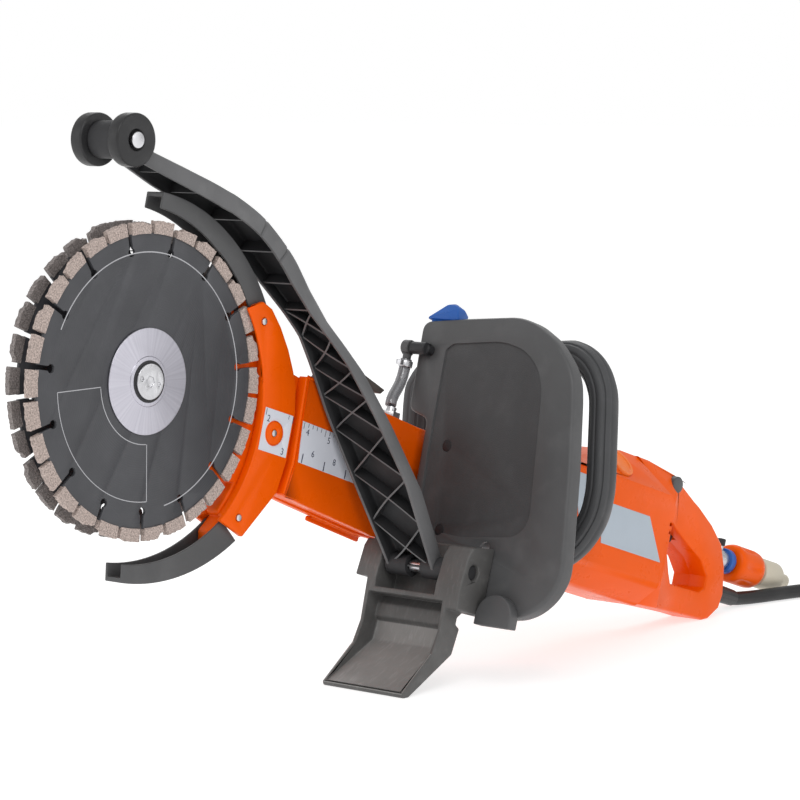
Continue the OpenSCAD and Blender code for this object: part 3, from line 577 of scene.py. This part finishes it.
# ---------------------------------------------------------------- blades
def core_outline(phase):
    """The steel core: keyhole slots run in from the edge between pairs of segments."""
    keyhole_r, slot_half = 3.2, 1.6
    root = CORE_R - 12.5
    throat = root + math.sqrt(keyhole_r ** 2 - slot_half ** 2)
    # the keyhole is open towards the edge, where the slot's throat meets it
    key = [(root - dx, dz) for dx, dz in arc(keyhole_r, 150, -150, 10)]
    key = [(throat, slot_half)] + key[1:-1] + [(throat, -slot_half)]
    lip = math.degrees(math.asin(slot_half / CORE_R))
    outline = []
    pitch = 360 / SLOTS
    for i in range(SLOTS):
        turn = -(i * pitch + phase)
        c, s = math.cos(math.radians(turn)), math.sin(math.radians(turn))
        outline += [(u * c - v * s, u * s + v * c) for u, v in key]
        outline += arc(CORE_R, turn - lip, turn - pitch + lip, 12)
    return outline


def segment(middle, half, y0, y1, outer):
    """Half of one diamond segment, chipped all over and often short at one corner."""
    rim = arc(outer, middle - half, middle + half, 6)
    chip = random.choice((range(0), range(2), range(5, 7)))
    drop = 1 - random.uniform(1.4, 3.4) / outer
    rim = [(u * drop, v * drop) if i in chip else (u, v) for i, (u, v) in enumerate(rim)]
    piece = slab("segment", rim + arc(CORE_R - 0.6, middle + half, middle - half, 3), y0, y1)
    edit(piece, lambda: bpy.ops.mesh.quads_convert_to_tris(), lambda: bpy.ops.mesh.subdivide(number_cuts=1))
    for vertex in piece.data.vertices:
        reach = math.hypot(vertex.co.x, vertex.co.z)
        if reach > CORE_R + 1:
            pull = random.uniform(-0.8, 0.0) / reach
            vertex.co.x += vertex.co.x * pull
            vertex.co.z += vertex.co.z * pull
        vertex.co.y += random.uniform(-0.25, 0.25)
    return piece


def blade(side, phase):
    near, far = (-CORE_OUT, -CORE_IN) if side == "left" else (CORE_IN, CORE_OUT)
    node = "blade_" + side
    core = eased(slab(node + "_core", core_outline(phase), near, far), 0.25, 2)
    fitted(core, FINISHES["blade_steel"], "spindle", [node])
    middle = (near + far) / 2
    pitch = 360 / SLOTS
    slot_room, split = 2.5, 1.7
    lip = math.degrees(slot_room / BLADE_R)
    gap = math.degrees(split / BLADE_R)
    half = (pitch / 2 - lip - gap) / 2
    pieces = []
    for i in range(SLOTS):
        turn = -(i * pitch + phase)
        for offset in (lip + half, pitch - lip - half):
            outer = BLADE_R - random.uniform(0.0, 1.6)
            pieces.append(segment(turn - offset, half, middle - SEGMENT_HALF, middle + SEGMENT_HALF, outer))
    ring = joined(node + "_segments", pieces)
    # Near blade: the bond's own colour; far blade: the darker copy, painted shade.
    fitted(ring, SEGMENT_NEAR if side == "left" else SEGMENT_FAR_PAINTED_SHADE, "spindle", [], 20)


def band(name, r0, r1, start, end, y0, y1, steps):
    return slab(name, arc(r1, start, end, steps) + arc(r0, end, start, steps), y0, y1)


def blade_print():
    """Thin printed lines on the outer face of each core."""
    tilt = math.degrees(PITCH)
    for side, sign in (("left", -1), ("right", 1)):
        y0, y1 = sorted((sign * CORE_OUT, sign * (CORE_OUT + 0.08)))
        lines = [
            band("print", 91.6, 92.4, 153 + tilt, -80 + tilt, y0, y1, 90),
            band("print", 44.7, 45.3, 182 + tilt, 268 + tilt, y0, y1, 40),
            band("print", 85.7, 86.3, 181 + tilt, 269 + tilt, y0, y1, 60),
        ]
        for at in (181, 269):
            a = math.radians(at + tilt)
            along = Vector((math.cos(a), math.sin(a)))
            off = Vector((-along.y, along.x)) * 0.3
            corners = [along * 45 - off, along * 86 - off, along * 86 + off, along * 45 + off]
            lines.append(slab("print", [tuple(c) for c in corners], y0, y1))
        fitted(joined("blade_print_" + side, lines), PRINT_GREY, "spindle")


def hub():
    softened("blade_flanges", 0.5, FLANGE)
    softened("blade_screws", 0.5)
    for side, sign in (("left", -1), ("right", 1)):
        y0, y1 = sorted((sign * 12.7, sign * 13.1))
        # A thin black band round each screw head: painted shade for the gap between screw and flange.
        ring = eased(band("ring", 12.9, 15.2, 0, 359.9, y0, y1, 60), 0.12, 2)
        fitted(ring, FINISHES["black_plastic"], "spindle").name = "hub_shade_ring_" + side


blade("left", 4)
blade("right", 16)
blade_print()
hub()


# ---------------------------------------------------------------- roller beam
# Stations from the pivot to the nose: the back line's x and z, the direction to the open front, the depth.
STATIONS = [
    (283, -70, -0.755, -0.656, 16), (241, -22, -0.755, -0.656, 16), (200, 25, -0.755, -0.656, 16),
    (172, 57, -0.755, -0.656, 16), (144, 88, -0.74, -0.673, 16), (125, 108, -0.71, -0.704, 17),
    (104, 126, -0.6, -0.8, 17), (74, 142, -0.4, -0.917, 16), (34, 151, -0.15, -0.989, 15),
    (-10, 155, -0.05, -0.999, 14), (-42, 158, 0, -1, 13), (-62, 159.8, 0, -1, 12)]
# The beam's edges across: left and right by height, and half the width of the nose by x.
LEFT_EDGE = [(-90, -88.2), (-70, -87.2), (-26, -80.8), (20, -68.8), (52, -56.8), (69, -45.8), (83, -35.8),
             (103, -28.3), (121, -25.8), (137, -22.8), (190, -20.8)]
RIGHT_EDGE = [(-90, -34.2), (-70, -32.2), (-26, -24.2), (20, -17.2), (52, -15.8), (69, -14.2), (83, -6.2),
              (103, 7.8), (121, 16.8), (137, 19.8), (190, 20.8)]
NOSE_EDGE = [(-70, 12.4), (-51, 12.5), (-10, 18.3), (34, 20.8), (60, 80)]
BEAM_WALL = 2.6
BEAM_CORNER = 5.5
BEAM_PLACES = 66
BEAM_JOINTS = (6.08, 6.95)
GROOVE = 0.9
LOWER_FRONT = Vector((-0.755, 0, -0.656))
UPPER_FRONT = Vector((-0.2, 0, -0.98))
PIVOT_X = 278
PIVOT_Z = -76
NOSE_X = -71.5


def between(table, at):
    if at <= table[0][0]:
        return table[0][1]
    for (a, u), (b, v) in zip(table, table[1:]):
        if at <= b:
            return u + (v - u) * (at - a) / (b - a)
    return table[-1][1]


def beam_edges(x, z):
    """Where the left and right walls stand at a place on the beam."""
    nose = between(NOSE_EDGE, x)
    return max(between(LEFT_EDGE, z), -nose), min(between(RIGHT_EDGE, z), nose)


def beam_station(place):
    """Back line, direction to the open front and depth at a place counted in stations."""
    i = min(int(place), len(STATIONS) - 2)
    t = place - i
    row = [STATIONS[max(0, min(len(STATIONS) - 1, i + k))] for k in (-1, 0, 1, 2)]
    mix = []
    for a, b, c, d in zip(*row):
        mix.append(0.5 * (2 * b + (c - a) * t + (2 * a - 5 * b + 4 * c - d) * t ** 2
                          + (3 * b - a - 3 * c + d) * t ** 3))
    out = Vector((mix[2], 0, mix[3])).normalized()
    return Vector((mix[0], 0, mix[1])), out, mix[4]


def beam_ring(place, groove=0.0):
    back, out, depth = beam_station(place)
    front = back + out * depth
    l0, r0 = beam_edges(back.x, back.z)
    l1, r1 = beam_edges(front.x, front.z)
    w, corner = BEAM_WALL, BEAM_CORNER
    soft = corner * 0.3

    def spot(q, y):
        return Vector((back.x + out.x * q, y, back.z + out.z * q))

    def left(q):
        return l0 + (l1 - l0) * q / depth

    def right(q):
        return r0 + (r1 - r0) * q / depth

    def grooved(point):
        return point + (middle - point).normalized() * groove

    middle = spot(depth / 2, (l0 + r0) / 2)
    outer = [spot(depth, left(depth)), spot(depth * 0.6, left(depth * 0.6)), spot(corner, left(corner)),
             spot(soft, l0 + soft), spot(0, l0 + corner), spot(0, (l0 + r0) / 2), spot(0, r0 - corner),
             spot(soft, r0 - soft), spot(corner, right(corner)), spot(depth * 0.6, right(depth * 0.6)),
             spot(depth, right(depth))]
    inner = [spot(depth, right(depth) - w), spot(depth * 0.6, right(depth * 0.6) - w),
             spot(corner, right(corner) - w), spot(w + soft * 0.6, r0 - w - soft * 0.6),
             spot(w, r0 - corner), spot(w, (l0 + r0) / 2), spot(w, l0 + corner),
             spot(w + soft * 0.6, l0 + w + soft * 0.6), spot(corner, left(corner) + w),
             spot(depth * 0.6, left(depth * 0.6) + w), spot(depth, left(depth) + w)]
    return [grooved(point) for point in outer] + inner


def beam_rib(start, end, from_left=True):
    """A thin web across the channel; it may run on the diagonal from one wall to the other."""
    side, top, short, steps = 2.8, 1.8, 3.0, 8
    rings = []
    for k in range(steps + 1):
        f = k / steps
        back, out, depth = beam_station(start + (end - start) * f)
        front = back + out * (depth - short)
        l0, r0 = beam_edges(back.x, back.z)
        l1, r1 = beam_edges(front.x, front.z)
        g = f if from_left else 1 - f
        a = back + out * top + Vector((0, l0 + side + (r0 - l0 - 2 * side) * g, 0))
        b = front + Vector((0, l1 + 1.2 + (r1 - l1 - 2.4) * g, 0))
        rings.append([a, b])
    web = lofted("web", rings, closed=False, cap=False)
    return worked(web, "SOLIDIFY", thickness=1.3, offset=0)


def roller_beam():
    last = len(STATIONS) - 1
    places = [last * i / BEAM_PLACES for i in range(BEAM_PLACES + 1)]
    places = sorted(places + [at + step for at in BEAM_JOINTS for step in (-0.03, -0.018, 0.018, 0.03)])
    rings = []
    for place in places:
        at_joint = any(abs(place - at) < 0.02 for at in BEAM_JOINTS)
        rings.append(beam_ring(place, GROOVE if at_joint else 0.0))
    backs = [ring[5] for ring in rings]
    skin = lofted("roller_beam_skin", rings)
    eased(skin, 0.7, 2, 50)
    skin.data.materials.append(GREY_BEAM)
    skin.data.materials.append(BEAM_DARK_AND_PAINTED_SHADE)
    # Faces inside the channel take the darker finish: painted shade in the channel.
    for face in skin.data.polygons:
        middle = face.center
        away = [math.hypot(spot.x - middle.x, spot.z - middle.z) for spot in backs]
        nearest = away.index(min(away))
        back, out, depth = beam_station(places[nearest])
        q = (middle - back).dot(out)
        l0, r0 = beam_edges(back.x, back.z)
        inside = q > BEAM_WALL * 0.6 and l0 + 1.5 < middle.y < r0 - 1.5 and q < depth - 0.8
        face.material_index = 1 if inside else 0
    fitted(skin, None, "beam", ["roller_beam"])
    lattice = [beam_rib(0.05 + 0.6 * i, 0.65 + 0.6 * i, lean) for i in range(7) for lean in (True, False)]
    straight = [beam_rib(at, at) for at in (0.04, 4.3, 5.2, 6.3, 7.4, 8.5, 9.5)]
    webs = joined("roller_beam_webs", lattice + straight)
    webs.data.materials.append(BEAM_DARK_AND_PAINTED_SHADE)
    webs.data.materials.append(GREY_BEAM)
    # Most of each web takes the darker finish, painted shade in the channel; only its small faces towards the open
    # front keep the shell's grey.
    for face in webs.data.polygons:
        out = LOWER_FRONT if face.center.x > 110 else UPPER_FRONT
        face.material_index = 1 if face.normal.dot(out) > 0.8 and face.area < 40 else 0
    fitted(webs, None, "beam")
    pivot = [tube("boss", 9, 4.1, y0, y1, PIVOT_X, PIVOT_Z) for y0, y1 in ((-88.2, -66), (-52, -31.4))]
    fitted(joined("beam_pivot_bosses", pivot), BEAM_DARK_AND_PAINTED_SHADE, "beam")
    nose = eased(rod("nose", 13.5, (NOSE_X, -12.6, 157), (NOSE_X, 12.6, 157)), 1.2)
    neck = eased(block("neck", (-67, -10.8, 149.2), (-56, 10.8, 158.8)), 1.0)
    fitted(joined("roller_mount", [nose, neck]), BEAM_DARK_AND_PAINTED_SHADE, "beam")


def tube(name, outer, inner, y0, y1, x, z):
    piece = rod(name, outer, (x, y0, z), (x, y1, z))
    cut(piece, rod("bore", inner, (x, y0 - 1, z), (x, y1 + 1, z)))
    return eased(piece, 0.5, 2)


roller_beam()
softened("roller_axle", 0.5)
for side in ("left", "right"):
    softened("roller_" + side, 1.6)


# ---------------------------------------------------------------- arm, covers and power unit
CASE_SEAM = 36.1
HANDLE_SEAM = 177.2
CAP_X, CAP_Y, CAP_Z = 110, 33, 47
LOCK_X, LOCK_Z = 197, 47


def body_seam(p):
    """Edges at the joints between the housings stay nearly sharp."""
    x, z = p.x - REAR_X, p.z
    if abs(x - CASE_SEAM) < 1.2 or (abs(x - HANDLE_SEAM) < 1.6 and z < 14):
        return True
    slant = (x - 146.3) * 0.69 + (z - 60) * 0.724
    return abs(slant) < 1.8 and z > 11 or (176 < x < 190 and 11 < z < 21)


def near_brush_cap(p):
    return (p.x - REAR_X - CAP_X) ** 2 + (abs(p.y - BODY_Y) - CAP_Y) ** 2 + (p.z - CAP_Z) ** 2 < 20 ** 2


def case_weight(p):
    return 0.1 if body_seam(p) or near_brush_cap(p) else 1.0


def handle_weight(p):
    """Sharp at the parting line, the seams and the lock button, softer round the grip."""
    if abs(p.y - BODY_Y) < 0.25:
        return 0.06
    x = p.x - REAR_X
    if body_seam(p) or (181 < x < 216 and p.z < 15 and abs(p.y - BODY_Y) > 20):
        return 0.1
    near_lock = (x - LOCK_X) ** 2 + (p.z - LOCK_Z) ** 2 < 260
    if near_lock or abs(p.y - BODY_Y) < 12:
        return 0.12
    if 200 < x < 288 and -36 < p.z < 22:
        return 0.5
    return 1.0


def softened_all(**widths):
    for node, width in widths.items():
        softened(node, width)


def arm():
    softened_all(arm_core=1.6, arm_cover_left=1.4, arm_cover_right=1.4, front_cover_left=1.3,
                 front_cover_right=1.3, cover_screws=0.35, blade_guard=0.75)
    softened("beam_stop", 0.7, STOP_BROWN)


def power_unit():
    softened("gear_case", 3.2, weight=case_weight)
    softened("motor_housing", 3.6, segments=5, weight=case_weight)
    softened("rear_handle_left", 3.0, segments=4, weight=handle_weight)
    softened("rear_handle_right", 3.0, segments=4, weight=handle_weight)
    softened("brush_caps", 0.7, PALE_ORANGE)
    softened_all(trigger=1.2, lock_button=1.0, handle_brackets=0.7)
    softened("side_labels", 0.08, LABEL_BLUE, 1)


PANEL_DEPTH = 1.7


def splash_guard():
    """A shallow tray with a soft rim and a sunken panel."""
    corners = [(4, 119.5), (-40, 124), (-91, 128), (-108, 124), (-130, 112), (-147, 95), (-155, 82),
               (-158.7, 66.7), (-168.6, 13.3), (-178.3, -54.8), (-179, -68), (-173, -84), (-160, -97),
               (-144, -104), (-98, -106), (-24, -100), (-19, 42), (1, 48)]
    rim = rounded(corners, [9] + 14 * [60] + 3 * [8])
    plate = eased(slab("splash_guard_shell", rim, PLATE_X, PLATE_X + 15, "X"), 3.0, 4)
    inner = [(-84 + (y + 84) * 0.955, 8 + (z - 8) * 0.965) for y, z in rim]
    cut(plate, slab("hollow", inner, PLATE_X + 3, PLATE_X + 20, "X"))
    for y, z in ((-53, -44), (-44, 22)):
        cut(plate, rod("boss", 8, (PLATE_X + 2, y, z), (PLATE_X + 14.95, y, z)), "UNION")
    panel = [(-25, 98), (-32, 103), (-80, 107.5), (-104, 102), (-120, 88), (-127, 72), (-139, -26),
             (-136, -36), (-127, -43), (-76, -48), (-31.5, -44), (-27, 20)]
    sunken_panel = rounded(panel, 2 * [5] + 8 * [60] + [8, 60])
    cut(plate, slab("panel", sunken_panel, PLATE_X - 1, PLATE_X + PANEL_DEPTH, "X"))
    for r, end, y, z in ((4.6, 20, -44, 22), (4.6, 20, -53, -44), (4.6, 4, -102, -53.5), (4, 16, -10, 96)):
        cut(plate, rod("hole", r, (PLATE_X - 1, y, z), (PLATE_X + end, y, z)))
    cut(plate, block("tap_room", (PLATE_X + 2, -30, 84), (PLATE_X + 16, 6, 108)))
    cut(plate, block("lever_room", (PLATE_X + 2, -38, 108), (PLATE_X + 16, 6, 130)))
    eased(plate, 0.3, 2, 50)
    plate.data.materials.append(FINISHES["dark_plastic"])
    plate.data.materials.append(PANEL_GREY)
    for face in plate.data.polygons:
        sunken = abs(face.center.x - PLATE_X - PANEL_DEPTH) < 0.2 and face.normal.x < -0.9
        face.material_index = 1 if sunken else 0
    fitted(plate, None, "saw", ["splash_guard"])


FLOOR_FACING = Vector((-0.755, 0, 0.656))


def scoop():
    """Its upward-facing floor takes a paler copy of the scuffed finish: painted light where the floor faces the
    lamps.
    """
    piece = softened("scoop", 1.3)
    piece.data.materials.clear()
    piece.data.materials.append(SCOOP_GREY)
    piece.data.materials.append(SCOOP_FLOOR_PAINTED_LIGHT)
    # Floor faces that turn up towards the lamps take the paler copy: painted light.
    for face in piece.data.polygons:
        spot = TO_SAW @ face.center
        turn = (TO_SAW.to_3x3() @ face.normal).normalized()
        floor = -97 < spot.y < -24 and spot.z < -120 and turn.dot(FLOOR_FACING) > 0.5
        face.material_index = 1 if floor else 0


def scoop_screw():
    head = eased(rod("scoop_screw", 4.6, (284.5, -80, -92), (289, -80, -92)), 0.6)
    cut(head, rod("socket", 2.0, (283, -80, -92), (286.5, -80, -92), 6))
    fitted(head, FINISHES["black_plastic"], "saw")


def coupling_sleeve():
    """Grip sleeve with six shallow finger hollows round it."""
    def ring(x, radius, hollow):
        spots = []
        for i in range(72):
            a = 2 * math.pi * i / 72
            r = radius - hollow * max(0.0, math.cos(6 * a)) ** 1.5
            spots.append(Vector((x, HOSE_Y + r * math.cos(a), 6 + r * math.sin(a))))
        return spots

    outer = [(348, 12.5, 0), (348.6, 14.8, 0), (350, 16.2, 0), (353, 16.9, 0), (357, 16.9, 0.9),
             (361, 16.9, 2.1), (366, 16.9, 2.5), (371, 16.9, 2.1), (375, 16.9, 0.9), (379, 16.9, 0),
             (383, 16.4, 0), (385, 15.2, 0)]
    inner = [(385, 11.1, 0), (358.5, 11.1, 0), (358.5, 7.1, 0), (348, 7.1, 0)]
    rings = [ring(REAR_X + x, r, h) for x, r, h in outer + inner + outer[:1]]
    piece = lofted("coupling_sleeve_grip", rings, cap=False)
    edit(piece, lambda: bpy.ops.mesh.remove_doubles(threshold=0.001), outwards)
    fitted(piece, FINISHES["orange_plastic"], "sleeve", ["coupling_sleeve"])


def guards():
    splash_guard()
    softened_all(guard_screws=0.4, guard_cap=1.0, tap_valve=0.9, tap_lever=1.4, water_elbow=0.8,
                 hose_clamp=0.4, arm_hose=0.4, arm_fitting=0.5)
    scoop()
    scoop_screw()
    softened("pivot_pin", 0.4, BEAM_DARK_AND_PAINTED_SHADE)


GRIP_R = 11.45


def front_handle():
    """Soft grip with five grooves along its outer side."""
    y_z = [(-126, -50), (-134, -46.5), (-142, -41), (-150, -33), (-156, -23), (-160, -12), (-161, 0),
           (-160, 14), (-154, 46), (-148, 76), (-143, 88), (-136, 98), (-126, 106), (-114, 110.5),
           (-100, 110.5), (-40, 103), (8, 97), (20, 94), (30, 88), (36, 79), (38, 68), (32, 34), (28, 8),
           (27, -6), (27, -20)]
    route = smooth_route([(REAR_X, y, z) for y, z in y_z], 4)
    section = []
    for i in range(72):
        a = 2 * math.pi * i / 72
        groove = sum(math.exp(-((a - math.radians(g)) / 0.075) ** 2) for g in (195, 232, 270, 308, 345))
        r = GRIP_R - groove
        section.append((r * math.cos(a), r * math.sin(a)))
    piece = swept("front_grip", route, section, (1, 0, 0))
    eased(piece, 0.8, 2, 60)
    fitted(piece, HANDLE_GREY, "saw", ["front_handle"])


def water_inlet():
    softened_all(inlet_filter=0.5, inlet_body=0.5, inlet_cap=0.8, inlet_nipple=0.6)
    coupling_sleeve()
    softened_all(hose_barrel=0.8, strain_relief=0.6)


arm()
power_unit()
guards()
front_handle()
water_inlet()


# ---------------------------------------------------------------- scales
def number(text, x, z, y):
    """Plain figures standing a hair proud of the label film."""
    deselect()
    bpy.ops.object.text_add()
    sign = bpy.context.object
    sign.data.body = text
    sign.data.size = 7.0
    sign.data.extrude = 0.03
    bpy.ops.object.convert(target="MESH")
    piece = named("number")
    piece.matrix_world = Matrix.Translation((x, y - 0.04, z)) @ Matrix.Rotation(math.radians(90), 4, "X")
    bpy.ops.object.transform_apply(location=True, rotation=True, scale=True)
    return piece


SCREW_X = 136
MARK_PITCH = 5
BAR_PITCH = 25.6
LONG_MARK, SHORT_MARK, BAR = 5, 3, 7
FIGURES = (("2", 125.5, 0.2), ("3", 147, -20.5), ("4", 170.5, -0.5), ("6", 181, -15), ("8", 206.5, -16),
           ("5", 195.5, -1.5), ("10", 231, -17))


def depth_scale():
    """Fine marks hang from the strip's upper edge, bars stand on its lower edge."""
    y1 = -ARM_SIDE - 0.32
    y0 = y1 - 0.08
    softened("depth_scale", 0.06, None, 1)
    marks = []

    def mark(x, half, low, high):
        marks.append(block("mark", (x - half, y0, low), (x + half, y1, high)))

    for i in range(7):
        x, top = 123.5 + i * MARK_PITCH, 9.4
        if abs(x - SCREW_X) > 9.5:
            mark(x, 0.25, top - (LONG_MARK if i % 2 == 0 else SHORT_MARK), top)
    for i in range(20):
        x = 167 + i * MARK_PITCH
        top = 8.6 - (x - 164.5) * 0.0308
        mark(x, 0.25, top - (LONG_MARK if i % 5 == 0 else SHORT_MARK), top)
    for i in range(4):
        x = 172 + i * BAR_PITCH
        low = -21.6 - (x - 168.5) * 0.032
        mark(x, 0.5, low, low + BAR)
    for text, x, z in FIGURES:
        marks.append(number(text, x, z, y1))
    fitted(joined("scale_marks", marks), INK, "saw")


depth_scale()


# ---------------------------------------------------------------- inner parts keep their plain shape
def dress_inner_parts():
    for node, piece in NODES.items():
        if not piece.hide_render:
            piece.data.materials.clear()
            piece.data.materials.append(FINISHES[SLOT_OF[node]])
            take(piece)
            bpy.ops.object.shade_smooth_by_angle(angle=math.radians(30))


dress_inner_parts()


# ---------------------------------------------------------------- floor and light
FLOOR_SIZE = 60
LAMP_AIM = Vector((0, 0, 0.15))
LAMPS = (("key", (-1.6, -1.2, 2.2), 1.4, 24), ("fill", (-2.2, 1.6, 1.2), 1.6, 8),
         ("rim", (1.4, 1.2, 2.0), 1.4, 14), ("side", (0.9, -2.2, 1.1), 1.4, 7))


def studio():
    """A white sweep: a bright floor, soft room light and a backdrop that only the camera sees."""
    deselect()
    bpy.ops.mesh.primitive_plane_add(size=FLOOR_SIZE, location=(0, 0, 0))
    floor = named("floor")
    paper = Finish("paper_floor", 0.9, Emission_Color=(1, 1, 1, 1), Emission_Strength=0.64)
    paper.colour(paper.noise(3.0, 2.0), [(0.3, (0.55, 0.55, 0.55)), (0.7, (0.57, 0.57, 0.57))])
    floor.data.materials.append(paper.material)
    world = bpy.data.worlds.new("studio")
    world.use_nodes = True
    tree = world.node_tree
    room = tree.nodes["Background"]
    room.inputs["Color"].default_value = (1, 1, 1, 1)
    room.inputs["Strength"].default_value = 0.62
    backdrop = tree.nodes.new("ShaderNodeBackground")
    backdrop.inputs["Color"].default_value = (1, 1, 1, 1)
    eye = tree.nodes.new("ShaderNodeLightPath")
    either = tree.nodes.new("ShaderNodeMixShader")
    tree.links.new(eye.outputs["Is Camera Ray"], either.inputs[0])
    tree.links.new(room.outputs[0], either.inputs[1])
    tree.links.new(backdrop.outputs[0], either.inputs[2])
    tree.links.new(either.outputs[0], tree.nodes["World Output"].inputs["Surface"])
    bpy.context.scene.world = world
    bpy.context.scene.view_settings.view_transform = "Standard"
    for name, place, size, power in LAMPS:
        light = bpy.data.lights.new(name, "AREA")
        light.size = size
        light.energy = power
        lamp = bpy.data.objects.new(name, light)
        lamp.location = place
        lamp.rotation_euler = (Vector(place) - LAMP_AIM).to_track_quat("Z", "Y").to_euler()
        bpy.context.scene.collection.objects.link(lamp)


studio()
